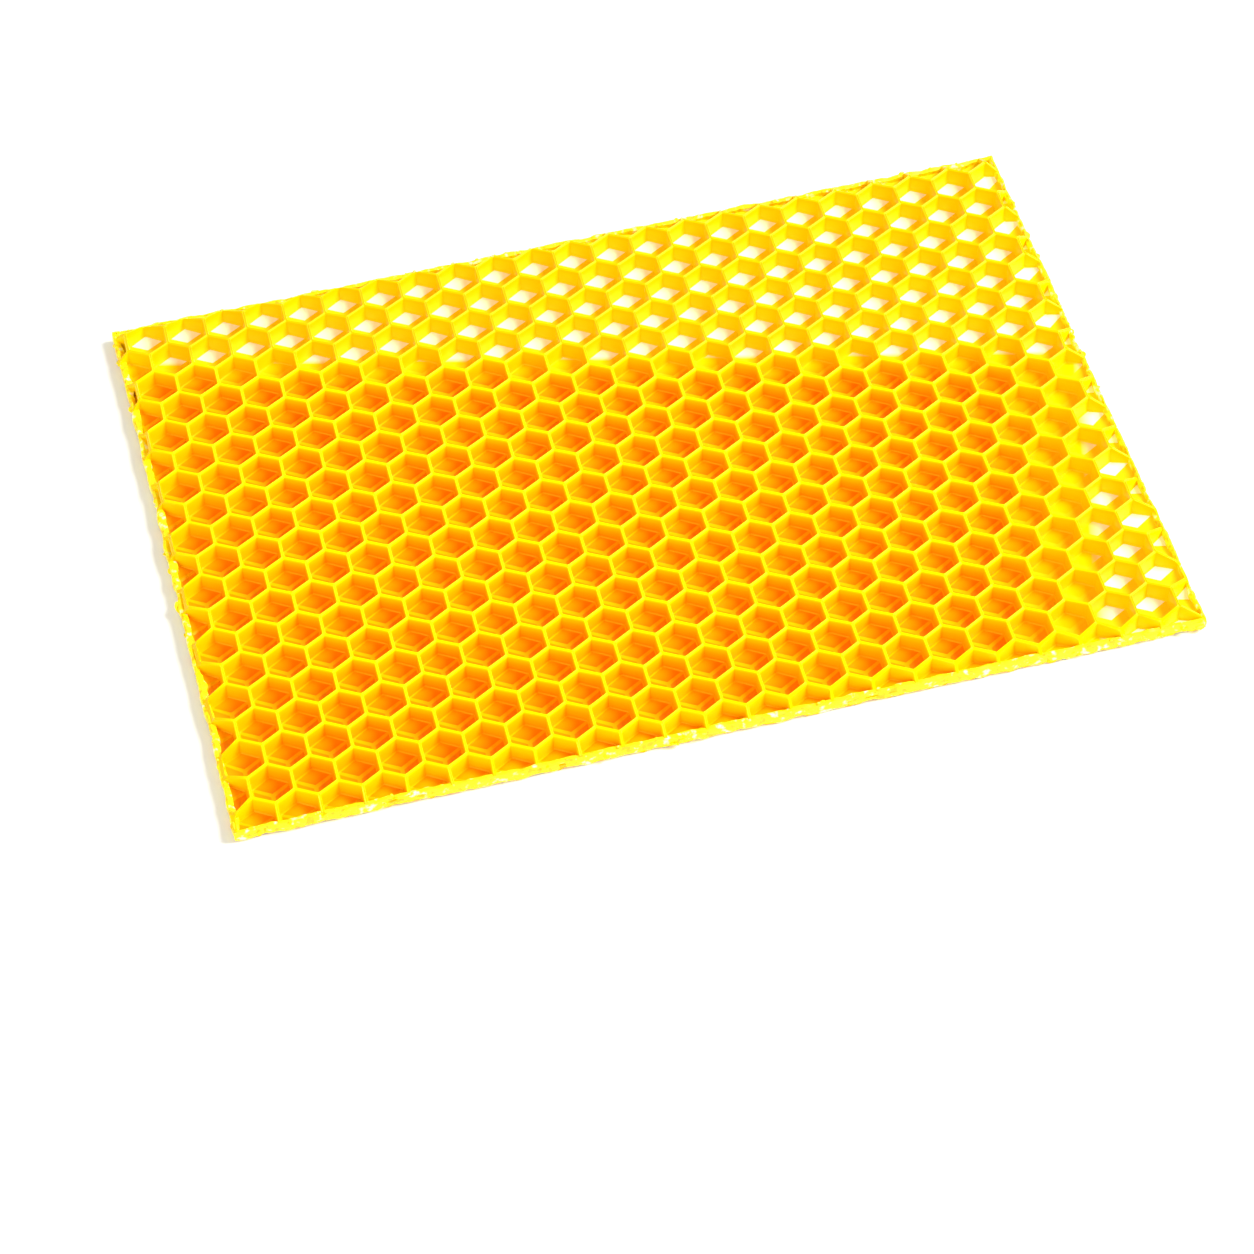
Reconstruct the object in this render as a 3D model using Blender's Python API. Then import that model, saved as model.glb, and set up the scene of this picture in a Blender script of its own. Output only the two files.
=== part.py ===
"""A cut sheet of beeswax comb foundation.

Deep six-sided cells open above a thin web of wax, and shallow ones below it.
The cells of the underside are centred under every other corner of the cells above, so
each cell ends in three rhombic facets, and a facet is shared by one cell of each side.
"""

import math

import bmesh
import bpy
from mathutils import Matrix, Vector

# Driving sizes, in metres
CELL_WIDTH = 0.0053
SHEET_LENGTH = 0.1224
SHEET_WIDTH = 0.0869
SHEET_THICKNESS = 0.0030
UPPER_DEPTH = 0.0024
WEB_THICKNESS = 0.00035
FACET_RISE = 0.0002
WALL_FOOT = 0.00036

# How the rows of cells lie in the cut sheet
ROW_TURN = math.radians(-0.8)
MIDDLE_CELL = (0.00577, -0.0069)

# Sizes that follow
CELL_SIDE = CELL_WIDTH / math.sqrt(3.0)
ROW_STEP = CELL_SIDE * 1.5
WEB_TOP = SHEET_THICKNESS - UPPER_DEPTH
WEB_BOTTOM = WEB_TOP - WEB_THICKNESS
ON_PLANE = 1e-6

WAX_COLOUR = (1.0, 0.48, 0.01, 1.0)
WAX_ROUGHNESS = 0.35


def clear_scene():
    """Remove every object that the file holds."""
    for old in list(bpy.data.objects):
        bpy.data.objects.remove(old, do_unlink=True)


def wax_material():
    """Yellow beeswax, softly glossy."""
    wax = bpy.data.materials.new("beeswax")
    wax.use_nodes = True
    shader = wax.node_tree.nodes["Principled BSDF"]
    shader.inputs["Base Color"].default_value = WAX_COLOUR
    shader.inputs["Roughness"].default_value = WAX_ROUGHNESS
    shader.inputs["Metallic"].default_value = 0.0
    return wax


def row_places(shift):
    """Centres of the cells, in rows along X, wide enough to cover the sheet."""
    turn = Matrix.Rotation(ROW_TURN, 4, "Z")
    middle = Vector((MIDDLE_CELL[0], MIDDLE_CELL[1], 0.0))
    reach = (SHEET_LENGTH + SHEET_WIDTH) / 2.0
    rows = int(reach / ROW_STEP)
    columns = int(reach / CELL_WIDTH)
    for row in range(-rows, rows + 1):
        half_step = 0.5 * (row % 2)
        for column in range(-columns, columns + 1):
            flat = Vector(((column + half_step) * CELL_WIDTH, row * ROW_STEP, 0.0))
            place = middle + turn @ (flat + shift)
            if near_sheet(place):
                yield Matrix.Translation(place) @ turn


def near_sheet(place):
    """True for a cell whose hexagon may reach the cut outline."""
    inside_x = abs(place.x) < SHEET_LENGTH / 2.0 + CELL_WIDTH
    inside_y = abs(place.y) < SHEET_WIDTH / 2.0 + CELL_WIDTH
    return inside_x and inside_y


def facet_height(corner):
    """Height of the three-facet floor over its lowest point, at a corner of the floor.

    The floor climbs twice as fast towards the three corners where the cells of the
    other side have their middle as towards the three corners in between.
    """
    share = math.hypot(corner.x, corner.y) / CELL_SIDE
    angle = math.atan2(corner.y, corner.x) - math.pi / 2.0
    return FACET_RISE * share * (1.5 + 0.5 * math.cos(3.0 * angle))


def upper_cell():
    """One cell of the upper side: six walls that lean in, and a floor of three facets."""
    cell = bmesh.new()
    made = bmesh.ops.create_circle(cell, cap_ends=True, segments=6, radius=CELL_SIDE)
    rim = made["verts"]
    floor = list(cell.faces)
    bmesh.ops.inset_individual(cell, faces=floor, thickness=WALL_FOOT)
    corners = list(floor[0].verts)
    for corner in corners:
        corner.co.z = WEB_TOP - FACET_RISE + facet_height(corner.co)
    poked = bmesh.ops.poke(cell, faces=floor)
    poked["verts"][0].co.z = WEB_TOP - FACET_RISE
    for corner in rim:
        corner.co.z = SHEET_THICKNESS
    return as_mesh(cell, "upper_cell")


def lower_cell():
    """One cell of the underside, as a six-sided hollow that ends in a point at the web."""
    cell = bmesh.new()
    bmesh.ops.create_circle(cell, cap_ends=True, segments=6, radius=CELL_SIDE)
    poked = bmesh.ops.poke(cell, faces=list(cell.faces))
    poked["verts"][0].co.z = WEB_BOTTOM + FACET_RISE
    bmesh.ops.reverse_faces(cell, faces=list(cell.faces))
    return as_mesh(cell, "lower_cell")


def as_mesh(cell, name):
    """Turn a cell under construction into a mesh that can be stamped many times."""
    mesh = bpy.data.meshes.new(name)
    cell.to_mesh(mesh)
    cell.free()
    return mesh


def stamp_cells(sheet, cell, shift):
    """Place a copy of one cell at every place of its side."""
    for place in row_places(shift):
        copy = cell.copy()
        copy.transform(place)
        sheet.from_mesh(copy)
        bpy.data.meshes.remove(copy)
    bpy.data.meshes.remove(cell)


def knife_sides():
    """The four upright planes of the cut, as a point on the plane and its outward normal."""
    half_length = Vector((SHEET_LENGTH / 2.0, 0.0, 0.0))
    half_width = Vector((0.0, SHEET_WIDTH / 2.0, 0.0))
    for half in (half_length, -half_length, half_width, -half_width):
        yield half, half.normalized()


def cut_outline(sheet):
    """Cut both skins of the sheet along its four sides."""
    for point, outward in knife_sides():
        whole = list(sheet.verts) + list(sheet.edges) + list(sheet.faces)
        bmesh.ops.bisect_plane(sheet, geom=whole, dist=ON_PLANE, plane_co=point,
                               plane_no=outward, clear_outer=True)


def close_corners(sheet):
    """Join the upper and the lower skin by an upright edge at each corner of the sheet."""
    for side_x in (-1.0, 1.0):
        for side_y in (-1.0, 1.0):
            corner = Vector((side_x * SHEET_LENGTH / 2.0, side_y * SHEET_WIDTH / 2.0, 0.0))
            ends = [vert for vert in sheet.verts
                    if (vert.co.xy - corner.xy).length < 10.0 * ON_PLANE]
            sheet.edges.new(ends)


def close_sides(sheet):
    """Fill each cut side, where the knife went through walls and web."""
    for point, outward in knife_sides():
        ring = [edge for edge in sheet.edges if len(edge.link_faces) < 2
                and all(abs((vert.co - point).dot(outward)) < 5.0 * ON_PLANE
                        for vert in edge.verts)]
        bmesh.ops.contextual_create(sheet, geom=ring)


def build_sheet():
    """The whole sheet as one closed solid."""
    sheet = bmesh.new()
    stamp_cells(sheet, upper_cell(), Vector((0.0, 0.0, 0.0)))
    stamp_cells(sheet, lower_cell(), Vector((0.0, CELL_SIDE, 0.0)))
    bmesh.ops.remove_doubles(sheet, verts=sheet.verts, dist=10.0 * ON_PLANE)
    cut_outline(sheet)
    close_corners(sheet)
    close_sides(sheet)
    bmesh.ops.triangulate(sheet, faces=list(sheet.faces))
    bmesh.ops.recalc_face_normals(sheet, faces=list(sheet.faces))
    return as_mesh(sheet, "honeycomb_sheet")


def main():
    clear_scene()
    collection = bpy.data.collections.new("honeycomb_piece")
    bpy.context.scene.collection.children.link(collection)
    mesh = build_sheet()
    mesh.materials.append(wax_material())
    collection.objects.link(bpy.data.objects.new("honeycomb_sheet", mesh))


main()
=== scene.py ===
# %% [markdown]
# # A sheet of beeswax comb foundation
#
# Beekeepers hang thin sheets of pressed wax in their hives, and the bees build on them.
# This sheet has deep six-sided cells over a thin web, and shallow ones under it. A long
# knife has cut it out of the endless web of wax that left the engraved rollers.
#
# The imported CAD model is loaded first. It gives the size of the sheet and stays in place
# for the physics, while the finer pieces made below are what is seen.

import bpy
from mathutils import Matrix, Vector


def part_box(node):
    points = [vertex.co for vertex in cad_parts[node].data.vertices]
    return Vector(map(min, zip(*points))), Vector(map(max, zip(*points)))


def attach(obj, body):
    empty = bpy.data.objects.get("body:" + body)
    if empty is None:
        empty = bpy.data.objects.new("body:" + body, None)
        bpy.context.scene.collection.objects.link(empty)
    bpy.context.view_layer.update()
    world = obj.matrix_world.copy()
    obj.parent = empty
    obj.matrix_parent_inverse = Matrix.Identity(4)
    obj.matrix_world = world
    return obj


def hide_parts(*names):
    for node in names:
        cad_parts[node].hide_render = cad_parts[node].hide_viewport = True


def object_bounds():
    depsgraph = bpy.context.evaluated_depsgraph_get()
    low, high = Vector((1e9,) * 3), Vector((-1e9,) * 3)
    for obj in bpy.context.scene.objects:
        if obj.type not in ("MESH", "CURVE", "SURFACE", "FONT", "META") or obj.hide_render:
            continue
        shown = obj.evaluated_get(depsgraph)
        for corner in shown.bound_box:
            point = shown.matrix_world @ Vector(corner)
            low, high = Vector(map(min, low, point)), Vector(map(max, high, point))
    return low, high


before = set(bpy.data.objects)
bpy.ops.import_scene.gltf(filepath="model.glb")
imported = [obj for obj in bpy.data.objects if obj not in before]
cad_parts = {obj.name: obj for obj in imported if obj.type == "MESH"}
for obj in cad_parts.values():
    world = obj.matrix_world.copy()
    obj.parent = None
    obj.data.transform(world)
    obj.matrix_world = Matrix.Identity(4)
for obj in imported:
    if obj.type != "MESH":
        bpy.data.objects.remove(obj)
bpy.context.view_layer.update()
sheet_low, sheet_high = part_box("honeycomb_sheet")
print("CAD box of the sheet in mm:", [round(side * 1000.0, 2) for side in sheet_high - sheet_low])

# %% [markdown]
# ## Tools for the whole lesson
#
# Blender counts in metres, and wax cells are small, so every size below is written as so
# many millimetres. `bmesh` joins and cuts meshes, `numpy` places many points at once, and
# `noise` makes the unevenness that any pressed wax has. Blender starts that noise from the
# clock, so both it and the generator of chances get a seed, which makes each run the same.

# %% Imports and units
import math
import random

import bmesh
import bpy
import numpy as np
from mathutils import Matrix, Vector, noise

MM = 0.001
SEED = 4318
chance = random.Random(SEED)
noise.seed_set(SEED)
print("Blender", bpy.app.version_string)

# %% [markdown]
# ## The pattern of cells
#
# A hexagon is named by two sizes: its width across the flats, which is 5.3 mm for worker
# bees, and its side, which follows from it. The rows run along X. The knife doesn't follow
# the rows exactly, so the pattern is turned a little and starts a little off the middle.
#
# The places of the cells could come from two array modifiers, but a loop makes it easy to
# keep only the cells that the sheet needs.

# %% Places of the cells
CELL_WIDTH = 5.3 * MM
CELL_SIDE = CELL_WIDTH / math.sqrt(3.0)
ROW_STEP = CELL_SIDE * 1.5
ROW_TURN = math.radians(-0.8)
MIDDLE_CELL = Vector((5.77 * MM, -6.9 * MM, 0.0))

UPPER_DEPTH = 2.4 * MM
WEB_THICKNESS = 0.35 * MM

half_length = sheet_high.x
half_width = sheet_high.y
web_middle = sheet_high.z - UPPER_DEPTH - WEB_THICKNESS / 2.0
upper_reach = sheet_high.z - web_middle
lower_reach = web_middle - sheet_low.z


def cell_places(shift):
    """Middles of the cells of one face, as far as they reach into the sheet."""
    turn = Matrix.Rotation(ROW_TURN, 3, "Z")
    reach = half_length + half_width
    rows = int(reach / ROW_STEP)
    columns = int(reach / CELL_WIDTH)
    places = []
    for row in range(-rows, rows + 1):
        for column in range(-columns, columns + 1):
            flat = Vector(((column + 0.5 * (row % 2)) * CELL_WIDTH, row * ROW_STEP, 0.0))
            place = MIDDLE_CELL + turn @ (flat + shift)
            if abs(place.x) < half_length + CELL_WIDTH and abs(place.y) < half_width + CELL_WIDTH:
                places.append(place)
    return places


upper_places = cell_places(Vector((0.0, 0.0, 0.0)))
lower_places = cell_places(Vector((0.0, CELL_SIDE, 0.0)))
print("cells above:", len(upper_places), "cells below:", len(lower_places))

# %% [markdown]
# ## One cell
#
# Seen from the side, the wall of a cell has a rim with a shallow groove between two fine
# ridges, leans in on its way down, and meets the floor in a small fillet. The ridges catch
# the light as two bright lines. Seen from above, the floor is three flat
# rhombs. They lean together, because each of them is also the floor of another cell on
# the far side of the web. Where a wall stands on the far side, the wax is a little raised.
#
# A subdivision surface would round everything alike, so the cell is drawn as a stack of
# rings of points instead. Each ring has three points at a corner, which softens it a bit.
# Every face also gets the number of its finish: wall, back rhomb, front rhombs or rib.

# %% Profile of a wall
FACET_RISE = 0.2 * MM
RIB_RISE = 0.06 * MM
RIB_HALF_WIDTH = 0.27 * MM
CORNER_SHARE = 0.1
CORNER_PULL = 0.03 * MM

# inset from the middle of the wall, and drop from the top of the rim
UPPER_RIM = [(0.0, 0.08 * MM), (0.11 * MM, 0.0), (0.17 * MM, 0.04 * MM), (0.21 * MM, 0.2 * MM)]
LOWER_RIM = [(0.0, 0.0), (0.17 * MM, 0.03 * MM), (0.25 * MM, 0.18 * MM)]
# inset from the middle of the wall, and rise over the floor
FOOT_RINGS = [(0.33 * MM, 0.17 * MM), (0.46 * MM, 0.015 * MM)]
# how much of those drops and rises the shallow cells of the underside have
LOWER_SOFTNESS = 0.25

WALL, BACK_RHOMB, FRONT_RHOMB, RIB = range(4)


def floor_height(x, y):
    """Height of the three-rhomb floor over the middle of the web, at a point of a cell."""
    share = math.hypot(x, y) / CELL_SIDE
    angle = math.atan2(y, x) - math.pi / 2.0
    climb = FACET_RISE * share * (1.5 + 0.5 * math.cos(3.0 * angle))
    return WEB_THICKNESS / 2.0 - FACET_RISE + climb


def ring_points(inset):
    """Eighteen points round a cell: before, at and after each of its six corners."""
    radius = CELL_SIDE - inset / math.cos(math.radians(30.0))
    pull = CORNER_PULL if inset > 0.0 else 0.0
    corners = [(math.radians(30.0 + 60.0 * k)) for k in range(6)]
    points = []
    for k, angle in enumerate(corners):
        here = np.array((math.cos(angle), math.sin(angle))) * radius
        for step in (-1, 0, 1):
            other_angle = corners[(k + step) % 6]
            other = np.array((math.cos(other_angle), math.sin(other_angle))) * radius
            point = here + (other - here) * CORNER_SHARE
            if step == 0:
                point = here * (1.0 - pull / radius)
            points.append(point)
    return points


def cell_template(rim_height, rim_rings, softness):
    """Points and faces of one cell, with heights counted from the middle of the web."""
    points = []
    for inset, drop in rim_rings:
        points += [(x, y, rim_height - drop * softness) for x, y in ring_points(inset)]
    for inset, rise in FOOT_RINGS:
        points += [(x, y, floor_height(x, y) + rise * softness) for x, y in ring_points(inset)]
    rings = len(rim_rings) + len(FOOT_RINGS)
    faces = []
    finishes = []
    for ring in range(rings - 1):
        for k in range(18):
            outer, inner = ring * 18, (ring + 1) * 18
            faces.append((outer + k, outer + (k + 1) % 18, inner + (k + 1) % 18, inner + k))
            finishes.append(RIB if ring == rings - 2 else WALL)

    foot = (rings - 1) * 18
    middle = len(points)
    points.append((0.0, 0.0, floor_height(0.0, 0.0) + RIB_RISE))
    hub_radius = RIB_HALF_WIDTH / math.sin(math.radians(60.0))
    for k in (1, 3, 5):
        angle = math.radians(30.0 + 60.0 * k)
        x, y = math.cos(angle) * hub_radius, math.sin(angle) * hub_radius
        points.append((x, y, floor_height(x, y)))
    for rib in range(3):
        corner = foot + 6 * rib + 1
        points[corner] = (*points[corner][:2], points[corner][2] + RIB_RISE)
        left_hub = middle + 1 + (rib - 1) % 3
        right_hub = middle + 1 + rib
        next_rib = foot + (6 * rib + 6) % 18
        faces.append((middle, left_hub, corner - 1, corner))
        faces.append((middle, corner, corner + 1, right_hub))
        faces.append((right_hub, corner + 1, corner + 2, corner + 3, corner + 4, next_rib))
        finishes += [RIB, RIB, FRONT_RHOMB if rib else BACK_RHOMB]
    return np.array(points), faces, finishes


upper_cell = cell_template(upper_reach, UPPER_RIM, 1.0)
lower_cell = cell_template(lower_reach, LOWER_RIM, LOWER_SOFTNESS)
print("one cell:", len(upper_cell[0]), "points and", len(upper_cell[1]), "faces")

# %% [markdown]
# ## Two faces of cells
#
# A cell of the underside is a low cell turned over about its middle, and it is centred
# under a corner of the cells above. So one recipe serves both faces. The points on
# neighbouring rims coincide and are joined, which makes one skin above and one below.

# %% Stamp the cells
def skin_of_cells(places, cell, side):
    """One face of the sheet. side is 1 for the upper face and -1 for the underside."""
    turn = np.array(Matrix.Rotation(ROW_TURN, 3, "Z"))
    cell_points, cell_faces, finishes = cell
    shape = (cell_points * side) @ turn.T + np.array((0.0, 0.0, web_middle))
    points = []
    faces = []
    for number, place in enumerate(places):
        start = number * len(shape)
        points.append(shape + np.array(place))
        for face in cell_faces:
            order = face if side > 0 else face[::-1]
            faces.append([start + corner for corner in order])
    mesh = bpy.data.meshes.new("skin")
    mesh.from_pydata(np.concatenate(points).tolist(), [], faces)
    mesh.polygons.foreach_set("material_index", finishes * len(places))
    return mesh


sheet = bmesh.new()
for places, cell, side in ((upper_places, upper_cell, 1), (lower_places, lower_cell, -1)):
    skin = skin_of_cells(places, cell, side)
    sheet.from_mesh(skin)
    bpy.data.meshes.remove(skin)
bmesh.ops.remove_doubles(sheet, verts=sheet.verts, dist=0.01 * MM)
print("both skins:", len(sheet.verts), "points")

# %% [markdown]
# ## The knife
#
# The knife goes through walls and web wherever they happen to be, so the outer cells are
# cut open. `bisect_plane` does the same to the mesh. Each side is then closed between the
# upper and the lower skin, so that the wax has an inside and light can travel through it.

# %% Cut the four sides
ON_PLANE = 0.001 * MM

knife_sides = []
for reach, axis in ((half_length, 0), (half_width, 1)):
    for sign in (1.0, -1.0):
        outward = Vector((0.0, 0.0, 0.0))
        outward[axis] = sign
        knife_sides.append((outward * reach, outward))
for point, outward in knife_sides:
    whole = list(sheet.verts) + list(sheet.edges) + list(sheet.faces)
    bmesh.ops.bisect_plane(sheet, geom=whole, dist=ON_PLANE, plane_co=point,
                           plane_no=outward, clear_outer=True)
for side_x in (-1.0, 1.0):
    for side_y in (-1.0, 1.0):
        corner = Vector((side_x * half_length, side_y * half_width))
        at_corner = [vert for vert in sheet.verts
                     if (vert.co.xy - corner).length < 10.0 * ON_PLANE]
        at_corner.sort(key=lambda vert: vert.co.z)
        sheet.edges.new((at_corner[0], at_corner[-1]))
for point, outward in knife_sides:
    ring = [edge for edge in sheet.edges if len(edge.link_faces) < 2
            and all(abs((vert.co - point).dot(outward)) < 5.0 * ON_PLANE for vert in edge.verts)]
    bmesh.ops.contextual_create(sheet, geom=ring)
open_edges = sum(1 for edge in sheet.edges if len(edge.link_faces) != 2)
print("cut sheet:", len(sheet.verts), "points,", open_edges, "open edges")

# %% [markdown]
# ## Pressed edges and uneven wax
#
# The knife squeezes the soft walls down and the web up as it passes, so cells that it
# has cut narrow are nearly closed. It also leaves a slightly wavy outline.
# The rollers don't fill every wall alike either, so rims run a little high or low. Both
# are moves of points: one that fades out a little way in from the cut, and a slow noise
# all over. Noise with a wavelength of a few cells keeps each single wall straight.

# %% Press and roughen
PRESS_REACH = 1.5 * MM
PRESS_DEPTH = 0.45
WEB_LIFT = 0.8 * MM
OUTLINE_SWAY = 0.22 * MM
WALL_SWAY = 0.07 * MM
RIM_SWAY = 0.03
# how much more or less than PRESS_DEPTH the knife presses from place to place
PRESS_SWAY = 0.5
SWAY_LENGTH = 9.0 * MM
OUTLINE_LENGTH = 3.0 * MM


def edge_share(place):
    """0 well inside the sheet, rising smoothly to 1 at the cut."""
    inside = min(half_length - abs(place.x), half_width - abs(place.y))
    share = min(max(1.0 - inside / PRESS_REACH, 0.0), 1.0)
    return share * share * (3.0 - 2.0 * share)


def sway(place, length, seed):
    """A smooth uneven push for a point, with each part between about -1 and 1."""
    return noise.noise_vector(place / length + Vector((seed, seed * 0.7, 0.0)))


def outline_push(place, share):
    """Sideways push of the wax: slow all over the sheet, and quick towards the cut."""
    push = (WALL_SWAY * sway(place, SWAY_LENGTH, 3.0)
            + OUTLINE_SWAY * share * sway(place, OUTLINE_LENGTH, 11.0))
    return Vector((push.x, push.y, 0.0))


for vert in sheet.verts:
    flat = Vector((vert.co.x, vert.co.y, 0.0))
    share = edge_share(flat)
    slow = sway(flat, SWAY_LENGTH, 3.0)
    quick = sway(flat, OUTLINE_LENGTH, 11.0)
    over_web = vert.co.z - web_middle
    over_web *= 1.0 + RIM_SWAY * slow.z
    web_share = 1.0 - abs(over_web) / (upper_reach if over_web > 0.0 else lower_reach)
    if over_web > 0.0:
        over_web *= 1.0 - share * PRESS_DEPTH * (1.0 + PRESS_SWAY * quick.z)
    over_web += share * WEB_LIFT * max(web_share, 0.0)
    vert.co.z = web_middle + over_web
    vert.co += outline_push(flat, share)
print("highest and lowest point in mm:",
      round(max(vert.co.z for vert in sheet.verts) * 1000.0, 3),
      round(min(vert.co.z for vert in sheet.verts) * 1000.0, 3))

# %% [markdown]
# ## From points to a piece
#
# A piece takes its place in the scene here: it is shaded smooth except over sharp folds,
# and rides on the frame's only body. Its wax is added to it further down.

# %% Make the sheet a piece
SHARP_FOLD = math.radians(24.0)


def wax_piece(name, shape):
    """Turn a bmesh into a piece of the honeycomb."""
    bmesh.ops.triangulate(shape, faces=[face for face in shape.faces if len(face.verts) > 4])
    bmesh.ops.recalc_face_normals(shape, faces=shape.faces)
    mesh = bpy.data.meshes.new(name)
    shape.to_mesh(mesh)
    shape.free()
    mesh.shade_smooth()
    mesh.set_sharp_from_angle(angle=SHARP_FOLD)
    piece = bpy.data.objects.new(name, mesh)
    bpy.context.scene.collection.objects.link(piece)
    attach(piece, "root")
    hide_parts("honeycomb_sheet")
    mesh.calc_loop_triangles()
    print(name, "has", len(mesh.loop_triangles), "triangles")
    return piece


comb = wax_piece("comb_sheet", sheet)

# %% [markdown]
# ## The squeezed rim of the cut
#
# Along the cut the knife has pushed upper walls, web and lower walls together into one
# thin uneven band. It is modelled as a closed strip that follows the outline: a rounded
# section of eight points, whose height, thickness and place wander along the way. On the
# left the cut runs close by a row of walls, and the wax fills the gap between them.

# %% Sweep the band
BAND_MIDDLE = 1.0 * MM
BAND_HEIGHT = 1.8 * MM
BAND_THICKNESS = 0.64 * MM
BAND_STEP = 0.4 * MM
BAND_INSET = 0.2 * MM
BAND_LEFT_SPREAD = 0.9
WANDER_LENGTH = 2.2 * MM
RIPPLE_LENGTH = 0.8 * MM
# what the wander and the ripple do to the band's place, thickness and height
BAND_SHIFT = (0.1 * MM, 0.05 * MM)
BAND_SWELL = (0.45, 0.35)
BAND_RISE = (0.22, 0.15)


def outline_stations():
    """Places round the cut outline with the outward direction of each."""
    corners = [Vector((half_length, -half_width, 0.0)), Vector((half_length, half_width, 0.0)),
               Vector((-half_length, half_width, 0.0)), Vector((-half_length, -half_width, 0.0))]
    found = []
    for number, start in enumerate(corners):
        end = corners[(number + 1) % 4]
        along = (end - start).normalized()
        outward = Vector((along.y, -along.x, 0.0))
        steps = int((end - start).length / BAND_STEP)
        for step in range(steps):
            place = start.lerp(end, step / steps)
            found.append((place, outward if step else (outward - along).normalized()))
    return found


def band_section(place, outward):
    """Eight points round the band at one station."""
    wander = sway(place, WANDER_LENGTH, 21.0)
    ripple = sway(place, RIPPLE_LENGTH, 35.0)
    centre = place + outline_push(place, 1.0)
    centre -= outward * (BAND_INSET - BAND_SHIFT[0] * wander.x - BAND_SHIFT[1] * ripple.x)
    half_thick = BAND_THICKNESS / 2.0 * (1.0 + BAND_SWELL[0] * wander.y + BAND_SWELL[1] * ripple.y)
    top = BAND_HEIGHT / 2.0 * (1.0 + BAND_RISE[0] * wander.z + BAND_RISE[1] * ripple.z)
    bottom = -BAND_HEIGHT / 2.0 * (1.0 - BAND_RISE[0] * wander.z + BAND_RISE[1] * ripple.x)
    inner = -1.0 - BAND_LEFT_SPREAD * max(-outward.x, 0.0)
    section = []
    for out, up in ((0.0, top), (0.8, top * 0.82), (1.0, top * 0.3), (1.0, bottom * 0.3),
                    (0.8, bottom * 0.82), (0.0, bottom),
                    (inner, bottom * 0.5), (inner, top * 0.7)):
        height = Vector((0.0, 0.0, BAND_MIDDLE + up))
        section.append(centre + outward * half_thick * out + height)
    return section


stations = outline_stations()
band = bmesh.new()
rings = []
for place, outward in stations:
    rings.append([band.verts.new(point) for point in band_section(place, outward)])
for ring, following in zip(rings, rings[1:] + rings[:1]):
    for k in range(8):
        band.faces.new((ring[k], following[k], following[(k + 1) % 8], ring[(k + 1) % 8]))
cut_band = wax_piece("cut_band", band)

# %% [markdown]
# ## Burrs and flakes
#
# Here and there the knife leaves a lump of wax on the band, or a thin flake that stands
# off it. Both are small balls of wax, squashed and turned by chance: thick ones for the
# burrs, nearly flat ones for the flakes.

# %% Scatter burrs and flakes
BURR_COUNT = 260
FLAKE_COUNT = 60
BURR_SIZE = (0.10 * MM, 0.26 * MM)
FLAKE_SIZE = (0.25 * MM, 0.55 * MM)
LUMP_TILT = 0.5
LUMP_STRETCH = (0.9, 1.8)
LUMP_DENTS = 0.3


def add_lump(shape, size, flatness, spread, lift):
    """One lump somewhere on the band: a ball, stretched along the cut, squashed and dented."""
    place, outward = chance.choice(stations)
    along = Vector((-outward.y, outward.x, 0.0))
    tilt = (Matrix.Rotation(chance.uniform(-LUMP_TILT, LUMP_TILT), 3, along)
            @ Matrix.Rotation(chance.uniform(-LUMP_TILT, LUMP_TILT), 3, outward))
    spot = place + outline_push(place, 1.0) + outward * chance.uniform(*spread)
    spot.z = BAND_MIDDLE + chance.uniform(*lift) * BAND_HEIGHT
    stretch = chance.uniform(*LUMP_STRETCH)
    seed = Vector((chance.uniform(0.0, 50.0), 0.0, 0.0))
    made = bmesh.ops.create_icosphere(shape, subdivisions=2, radius=size)
    for vert in made["verts"]:
        local = vert.co * (1.0 + LUMP_DENTS * noise.noise(vert.co / size + seed))
        height = Vector((0.0, 0.0, local.z * flatness))
        lump = along * local.x * stretch + outward * local.y + height
        vert.co = spot + tilt @ lump


burrs = bmesh.new()
for number in range(BURR_COUNT):
    add_lump(burrs, chance.uniform(*BURR_SIZE), chance.uniform(0.5, 0.9),
             (-0.25 * MM, 0.08 * MM), (-0.45, 0.55))
cut_burrs = wax_piece("cut_burrs", burrs)

flakes = bmesh.new()
for number in range(FLAKE_COUNT):
    add_lump(flakes, chance.uniform(*FLAKE_SIZE), 0.2, (-0.2 * MM, 0.12 * MM), (-0.3, 0.45))
cut_flakes = wax_piece("cut_flakes", flakes)

# %% [markdown]
# ## Beeswax
#
# Pressed beeswax is yellow, milky and softly glossy. Its thin rims look lemon yellow. Down
# in a cell the light goes from wall to wall and deepens from step to step, so the wax there
# looks amber and then orange. This shade is painted: the colour of each height is set by a
# ramp, which is steadier than letting clear wax bend the light. Light that wanders under the
# skin would only blur walls this thin, so subsurface is kept for the cut edge, where the wax
# is a solid lump.

# %% Helpers for materials
def linear(colour):
    """Turn an sRGB hex colour into the linear values that Blender counts with."""
    values = []
    for start in (1, 3, 5):
        part = int(colour[start:start + 2], 16) / 255.0
        values.append(part / 12.92 if part <= 0.04045 else ((part + 0.055) / 1.055) ** 2.4)
    return (*values, 1.0)


def add_node(tree, kind, settings=None, values=None, links=None):
    """Add a node, set its options and sockets, and link sockets of earlier nodes to it."""
    node = tree.nodes.new(kind)
    for name, value in (settings or {}).items():
        setattr(node, name, value)
    for name, value in (values or {}).items():
        node.inputs[name].default_value = value
    for name, source in (links or {}).items():
        tree.links.new(source, node.inputs[name])
    return node


# %% [markdown]
# ## One finish for every wax
#
# Beeswax bends light a little less than window glass, and a face that rollers have pressed
# is neither matt nor shiny. White light mirrored in orange wax looks pink here, so the gloss
# has a yellow tint. Slow patches of tone stand for thicker and thinner wax. The grain is
# drawn 0.5 mm long, coarser than pressed wax is likely to have, so that it shows at all.

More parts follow.
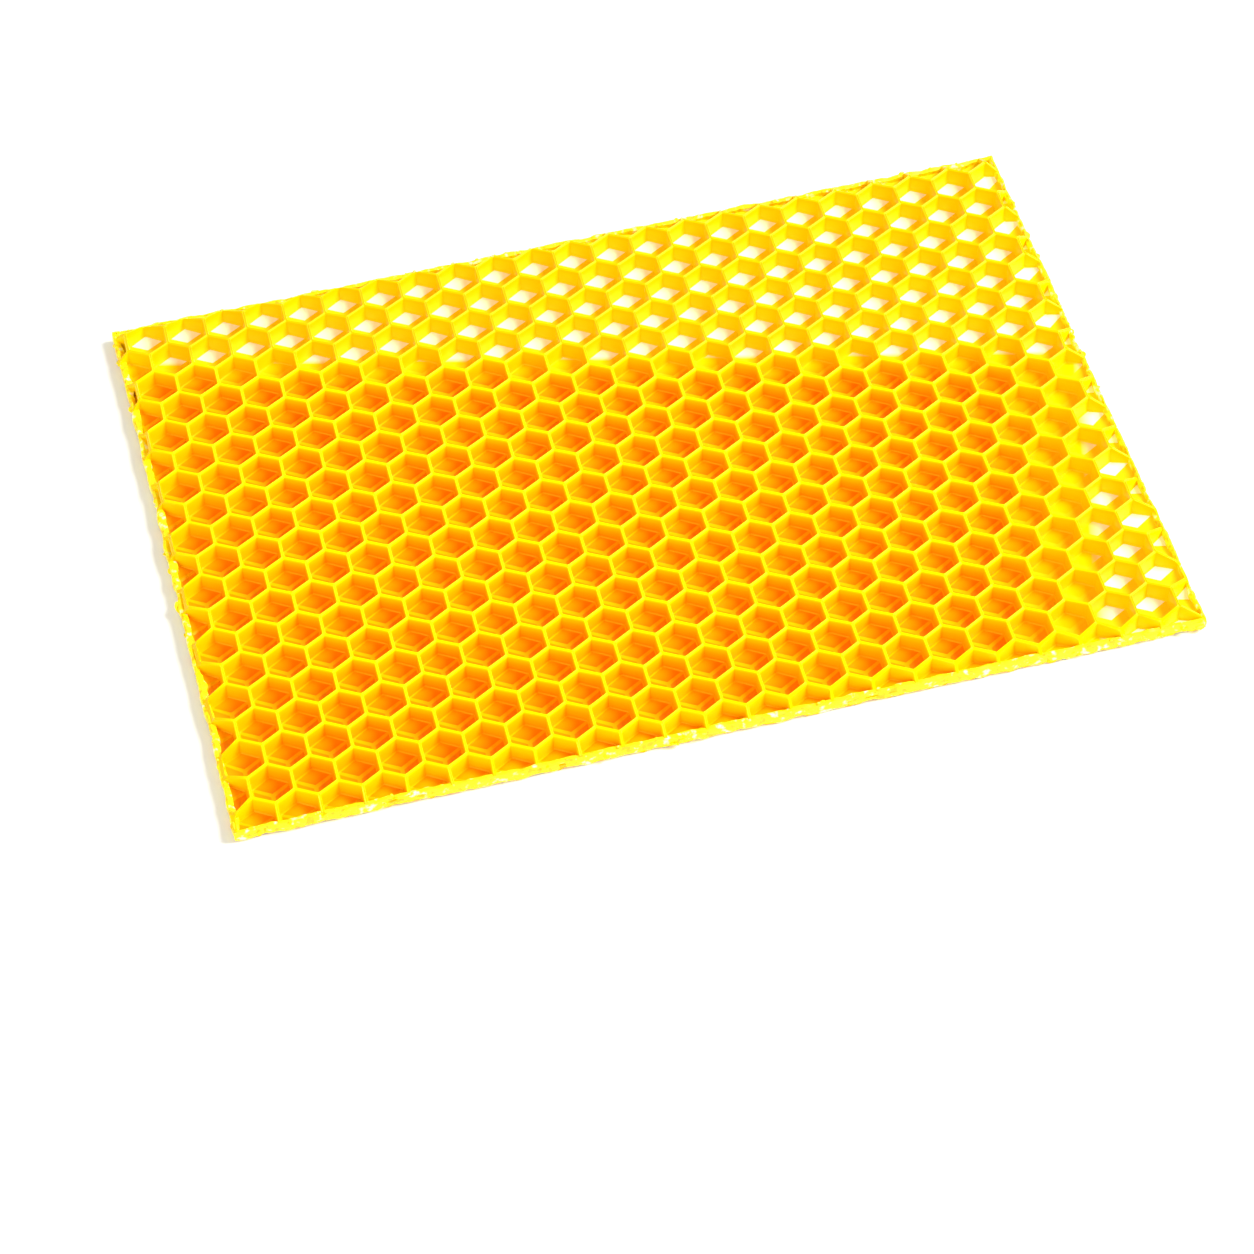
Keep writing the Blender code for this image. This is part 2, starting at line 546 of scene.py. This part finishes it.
# %% Finish shared by all wax
WAX_IOR = 1.44
WAX_ROUGHNESS = 0.26
WAX_GLOSS = 0.3
WAX_GLOSS_TINT = "#FFE650"
PATCH_LENGTH = 7.0 * MM
GRAIN_LENGTH = 0.5 * MM
PATCH_LIGHT = (0.92, 1.08)
GRAIN_STRENGTH = 0.25
GRAIN_DEPTH = 0.02 * MM


def new_material(name):
    """An empty material, with its node tree and the place on the object."""
    material = bpy.data.materials.new(name)
    material.use_nodes = True
    tree = material.node_tree
    tree.nodes.clear()
    where = add_node(tree, "ShaderNodeTexCoord")
    return material, tree, where.outputs["Object"]


def wax_surface(tree, place, colour):
    """Softly glossy wax in a colour, with slow patches of tone and a fine grain."""
    patches = add_node(tree, "ShaderNodeTexNoise",
                       values={"Scale": 1.0 / PATCH_LENGTH, "Detail": 2.0},
                       links={"Vector": place})
    patch_light = add_node(tree, "ShaderNodeMapRange",
                           values={"To Min": PATCH_LIGHT[0], "To Max": PATCH_LIGHT[1]},
                           links={"Value": patches.outputs["Fac"]})
    tinted = add_node(tree, "ShaderNodeHueSaturation",
                      links={"Color": colour, "Value": patch_light.outputs["Result"]})
    grain = add_node(tree, "ShaderNodeTexNoise",
                     values={"Scale": 1.0 / GRAIN_LENGTH, "Detail": 3.0},
                     links={"Vector": place})
    dents = add_node(tree, "ShaderNodeBump",
                     values={"Strength": GRAIN_STRENGTH, "Distance": GRAIN_DEPTH},
                     links={"Height": grain.outputs["Fac"]})
    shader = add_node(tree, "ShaderNodeBsdfPrincipled",
                      values={"Roughness": WAX_ROUGHNESS, "IOR": WAX_IOR,
                              "Specular IOR Level": WAX_GLOSS,
                              "Specular Tint": linear(WAX_GLOSS_TINT)},
                      links={"Base Color": tinted.outputs["Color"],
                             "Normal": dents.outputs["Normal"]})
    add_node(tree, "ShaderNodeOutputMaterial", links={"Surface": shader.outputs["BSDF"]})


# %% [markdown]
# ## Painted shade and painted backlight
#
# Most of the sheet is painted in deep amber, as painted shade. Along the back and the right
# edge plain light comes through, and there the same wax is painted pale, as painted backlight.
# So every finish has a shaded colour and a backlit one. Both borders are straight lines over
# the sheet. A line is `x * a + y * b > c`, which takes one dot product and one comparison.

# %% Colours by place
# Borders of the painted backlight, and of the painted light that enters through the front and the
# left cut.
BACK_BORDER = ((0.2687, 1.0, 0.0), 19.9 * MM)
RIGHT_BORDER = ((1.0, -0.261, 0.0), 54.0 * MM)
BORDER_BLUR = 2.5 * MM
RIGHT_BLUR = 6.8 * MM
FRONT_GLOW = ((0.0, -1.0, 0.0), 38.0 * MM)
LEFT_GLOW = ((-1.0, 0.0, 0.0), 54.0 * MM)
GLOW_BLUR = 6.0 * MM
GLOW_SHARE = 0.55


def share_between(tree, value, low, high):
    """0 at low and 1 at high, with a straight rise between them."""
    node = add_node(tree, "ShaderNodeMapRange", {"clamp": True},
                    {"From Min": low, "From Max": high}, {"Value": value})
    return node.outputs["Result"]


def larger(tree, one, other):
    """The larger of two numbers."""
    node = add_node(tree, "ShaderNodeMath", {"operation": "MAXIMUM"}, links={0: one, 1: other})
    return node.outputs[0]


def beyond(tree, place, border, blur=BORDER_BLUR):
    """1 on the far side of a straight border across the sheet."""
    direction, reach = border
    over = add_node(tree, "ShaderNodeVectorMath", {"operation": "DOT_PRODUCT"},
                    {1: direction}, {0: place})
    return share_between(tree, over.outputs["Value"], reach - blur, reach + blur)


def colour_by_share(tree, share, colours):
    """A colour that runs through a list of (share, hex colour) stops."""
    ramp = add_node(tree, "ShaderNodeValToRGB", links={"Fac": share})
    stops = ramp.color_ramp.elements
    while len(stops) < len(colours):
        stops.new(0.5)
    for stop, (position, colour) in zip(stops, colours):
        stop.position = position
    for stop, (position, colour) in zip(stops, colours):
        stop.color = linear(colour)
    return ramp.outputs["Color"]


def backlit_share(tree, place):
    """1 where painted backlight makes the wax pale, along the back and the right edge."""
    return larger(tree, beyond(tree, place, BACK_BORDER),
                  beyond(tree, place, RIGHT_BORDER, RIGHT_BLUR))


# %% [markdown]
# ## Walls of the cells
#
# The height over the web sets the colour of a wall, as painted shade from lemon on the rim
# to amber at the foot. The underside has lower walls, so the height is counted as a share on
# each side. Light also enters through the cut, so the walls near the front and the left edge
# are painted part of the way to the backlit colour.

# %% The wax of the walls
# Painted shade, deepening from the rim to the foot of a wall.
WALL_COLOURS = [(0.1, "#FFA400"), (0.6, "#FFB200"), (0.86, "#FFC400"), (0.97, "#FFE600")]
# Painted backlight: the walls' colour where light comes through the sheet, feet lighter than tops.
BACKLIT_WALL_COLOURS = [(0.1, "#FFDE00"), (0.97, "#FFBE00")]


def wall_beeswax(name):
    """Yellow wax with lemon rims and painted shade down to amber feet, and painted backlight."""
    wax, tree, place = new_material(name)
    across = add_node(tree, "ShaderNodeSeparateXYZ", links={"Vector": place})
    height = larger(tree, share_between(tree, across.outputs["Z"], web_middle, sheet_high.z),
                    share_between(tree, across.outputs["Z"], web_middle, sheet_low.z))
    # Painted light that enters through the front and the left cut.
    glow = larger(tree, beyond(tree, place, FRONT_GLOW, GLOW_BLUR),
                  beyond(tree, place, LEFT_GLOW, GLOW_BLUR))
    part_of_glow = add_node(tree, "ShaderNodeMath", {"operation": "MULTIPLY"}, {1: GLOW_SHARE},
                            {0: glow})
    # clear is the share of painted backlight here.
    clear = larger(tree, backlit_share(tree, place), part_of_glow.outputs[0])
    colour = add_node(tree, "ShaderNodeMix", {"data_type": "RGBA"},
                      links={0: clear,
                             6: colour_by_share(tree, height, WALL_COLOURS),
                             7: colour_by_share(tree, height, BACKLIT_WALL_COLOURS)})
    wax_surface(tree, place, colour.outputs[2])
    return wax


# %% [markdown]
# ## Rhombs and ribs of the floor
#
# The web is thinnest in the rhombs, so what is behind them is painted in: deep orange painted
# shade in most of the sheet, and in the backlit parts a nearly white painted backlight in the
# rhomb that climbs towards the back. The ribs have a wall of the far side behind them. They
# stay bright, as do the fillets. The middle stops of each ramp keep the way from orange to
# white yellow instead of pink. The back rhomb climbs, so its shaded colour also runs from a
# darker orange painted shade at its foot to the wall's amber.

# %% The wax of the floor
# Each ramp runs from painted shade at share 0 to painted backlight at share 1.
BACK_RHOMB_COLOURS = [(0.0, "#FFA400"), (0.5, "#FFC000"),
                      (0.85, "#FFD400"), (1.0, "#FFFAE0")]
# A darker painted shade at the foot of the back rhomb.
BACK_RHOMB_FOOT_SHADE_COLOURS = [(0.0, "#FF7000"), (0.5, "#FFB400"),
                           (0.85, "#FFD400"), (1.0, "#FFFAE0")]
# where the painted shade at the foot ends, in units of FACET_RISE over the lowest point of the
# floor
FOOT_SHADE_CLIMB = 1.6
FRONT_RHOMB_COLOURS = [(0.0, "#FF9000"), (0.6, "#FFC400"), (1.0, "#FFDC10")]
RIB_COLOURS = [(0.0, "#FFB400"), (1.0, "#FFDA10")]


def floor_beeswax(name, colours, foot_shade_colours=None):
    """Wax of one kind of floor face, from painted shade to painted backlight."""
    wax, tree, place = new_material(name)
    # clear is the share of painted backlight here.
    clear = backlit_share(tree, place)
    colour = colour_by_share(tree, clear, colours)
    if foot_shade_colours:
        across = add_node(tree, "ShaderNodeSeparateXYZ", links={"Vector": place})
        lowest = web_middle + floor_height(0.0, 0.0)
        climbed = share_between(tree, across.outputs["Z"],
                                lowest, lowest + FOOT_SHADE_CLIMB * FACET_RISE)
        foot = colour_by_share(tree, clear, foot_shade_colours)
        colour = add_node(tree, "ShaderNodeMix", {"data_type": "RGBA"},
                          links={0: climbed, 6: foot, 7: colour}).outputs[2]
    wax_surface(tree, place, colour)
    return wax


for material in (wall_beeswax("pressed_beeswax_wall"),
                 floor_beeswax("pressed_beeswax_back_rhomb", BACK_RHOMB_COLOURS,
                               BACK_RHOMB_FOOT_SHADE_COLOURS),
                 floor_beeswax("pressed_beeswax_front_rhomb", FRONT_RHOMB_COLOURS),
                 floor_beeswax("pressed_beeswax_rib", RIB_COLOURS)):
    comb.data.materials.append(material)
print("finishes of the sheet:", [material.name for material in comb.data.materials])

# %% [markdown]
# ## Squeezed wax
#
# Where the knife went through, the wax is squeezed and full of small cracks, and these
# scatter the light. So the cut is paler than the sheet, and some specks are almost white.
# Along its upper lip a painted highlight makes it palest.

# %% The wax of the cut
CUT_WAX = "#FFE600"
CUT_WAX_DEEP = "#FFB800"
CUT_SPECK = "#FFF9C8"
SPECK_LENGTH = 1.0 * MM
# Painted highlight along the upper lip: the heights it fades in over, and its strength.
LIP_HIGHLIGHT = (1.5 * MM, 2.1 * MM)
LIP_HIGHLIGHT_SHARE = 0.62
CUT_ROUGHNESS = 0.4
DENT_STRENGTH = 0.5
DENT_DEPTH = 0.06 * MM
CUT_SUBSURFACE = 0.15
SUBSURFACE_BY_COLOUR = (1.0, 0.6, 0.1)
SUBSURFACE_REACH = 0.4 * MM


def squeezed_beeswax(name):
    """Pale yellow wax with whitish specks and a painted highlight along its upper lip, rougher
    than the pressed faces.
    """
    wax, tree, place = new_material(name)
    specks = add_node(tree, "ShaderNodeTexNoise",
                      values={"Scale": 1.0 / SPECK_LENGTH, "Detail": 3.0},
                      links={"Vector": place})
    across = add_node(tree, "ShaderNodeSeparateXYZ", links={"Vector": place})
    # Painted highlight that makes the upper lip of the cut palest.
    lip_highlight = add_node(tree, "ShaderNodeMath", {"operation": "MULTIPLY"}, {1: LIP_HIGHLIGHT_SHARE},
                   {0: share_between(tree, across.outputs["Z"], *LIP_HIGHLIGHT)})
    specks_and_highlight = larger(tree, specks.outputs["Fac"], lip_highlight.outputs[0])
    colour = colour_by_share(tree, specks_and_highlight, [(0.36, CUT_WAX_DEEP), (0.48, CUT_WAX),
                                                (0.58, CUT_WAX), (0.7, CUT_SPECK)])
    dents = add_node(tree, "ShaderNodeBump",
                     values={"Strength": DENT_STRENGTH, "Distance": DENT_DEPTH},
                     links={"Height": specks.outputs["Fac"]})
    shader = add_node(tree, "ShaderNodeBsdfPrincipled",
                      values={"Roughness": CUT_ROUGHNESS, "IOR": WAX_IOR,
                              "Specular IOR Level": WAX_GLOSS,
                              "Subsurface Weight": CUT_SUBSURFACE,
                              "Subsurface Radius": SUBSURFACE_BY_COLOUR,
                              "Subsurface Scale": SUBSURFACE_REACH},
                      links={"Base Color": colour, "Normal": dents.outputs["Normal"]})
    add_node(tree, "ShaderNodeOutputMaterial", links={"Surface": shader.outputs["BSDF"]})
    return wax


cut_beeswax = squeezed_beeswax("squeezed_beeswax")
for piece in (cut_band, cut_burrs, cut_flakes):
    piece.data.materials.append(cut_beeswax)

# %% [markdown]
# ## Floor
#
# A plain pale floor without an edge in sight, so that nothing competes with the wax.

# %% Lay the floor
FLOOR_REACH = 3.0
FLOOR_COLOUR = "#F4F4F2"
FLOOR_ROUGHNESS = 0.9


def floor_paint():
    """Matt pale paint."""
    paint = bpy.data.materials.new("floor_paint")
    paint.use_nodes = True
    shader = paint.node_tree.nodes["Principled BSDF"]
    shader.inputs["Base Color"].default_value = linear(FLOOR_COLOUR)
    shader.inputs["Roughness"].default_value = FLOOR_ROUGHNESS
    return paint


floor_mesh = bpy.data.meshes.new("floor")
floor_corners = [(-FLOOR_REACH, -FLOOR_REACH, 0.0), (FLOOR_REACH, -FLOOR_REACH, 0.0),
                 (FLOOR_REACH, FLOOR_REACH, 0.0), (-FLOOR_REACH, FLOOR_REACH, 0.0)]
floor_mesh.from_pydata(floor_corners, [], [(0, 1, 2, 3)])
floor_mesh.materials.append(floor_paint())
floor = bpy.data.objects.new("floor", floor_mesh)
floor.location.z = shown_floor = min(sheet_low.z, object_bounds()[0].z)
bpy.context.scene.collection.objects.link(floor)
print("floor at", round(shown_floor * 1000.0, 3), "mm")

# %% [markdown]
# ## Light
#
# Soft light from everywhere keeps the shadows pale. A softbox on the right gives the
# ridges of the rims their highlights and leaves the walls a bright and a darker side, and a
# weaker and wider one in front on the left lights the cut edge.

# %% Light the sheet
SKY_STRENGTH = 0.6


def softbox(name, place, size, power):
    """A square lamp at a place, turned towards the sheet."""
    lamp = bpy.data.lights.new(name, "AREA")
    lamp.energy = power
    lamp.size = size
    box = bpy.data.objects.new(name, lamp)
    box.location = place
    box.rotation_mode = "QUATERNION"
    box.rotation_quaternion = (-place).to_track_quat("-Z", "Y")
    bpy.context.scene.collection.objects.link(box)
    print(name, "at", [round(part, 2) for part in place], "with", power, "W")


world = bpy.data.worlds.new("studio")
world.use_nodes = True
background = world.node_tree.nodes["Background"]
background.inputs["Color"].default_value = linear("#FFFFFF")
background.inputs["Strength"].default_value = SKY_STRENGTH
bpy.context.scene.world = world
softbox("key_softbox", Vector((0.6, -0.1, 0.6)), 0.4, 12.0)
softbox("front_softbox", Vector((-0.7, -0.7, 0.3)), 0.8, 7.0)

# %% [markdown]
# ## Camera
#
# A long lens from the front, a little from the left and about 50 degrees up. The point in
# the middle of the picture lies towards the front edge of the sheet.

# %% Place the camera
CAMERA_TURN = math.radians(-12.33)
CAMERA_RISE = math.radians(49.7)
CAMERA_ROLL = math.radians(-2.69)
CAMERA_DISTANCE = 0.495
CAMERA_AIM = Vector((-8.3 * MM, -26.1 * MM, 3.0 * MM))
CAMERA_LENS = 114.8

back = Vector((math.sin(CAMERA_TURN) * math.cos(CAMERA_RISE),
               -math.cos(CAMERA_TURN) * math.cos(CAMERA_RISE), math.sin(CAMERA_RISE)))
camera_data = bpy.data.cameras.new("camera")
camera_data.lens = CAMERA_LENS
camera = bpy.data.objects.new("camera", camera_data)
camera.location = CAMERA_AIM + back * CAMERA_DISTANCE
camera.rotation_mode = "QUATERNION"
camera.rotation_quaternion = ((-back).to_track_quat("-Z", "Y")
                              @ Matrix.Rotation(CAMERA_ROLL, 3, "Z").to_quaternion())
bpy.context.scene.collection.objects.link(camera)
bpy.context.scene.camera = camera
bpy.context.scene.view_settings.view_transform = "Standard"
print("camera at", [round(part, 3) for part in camera.location])
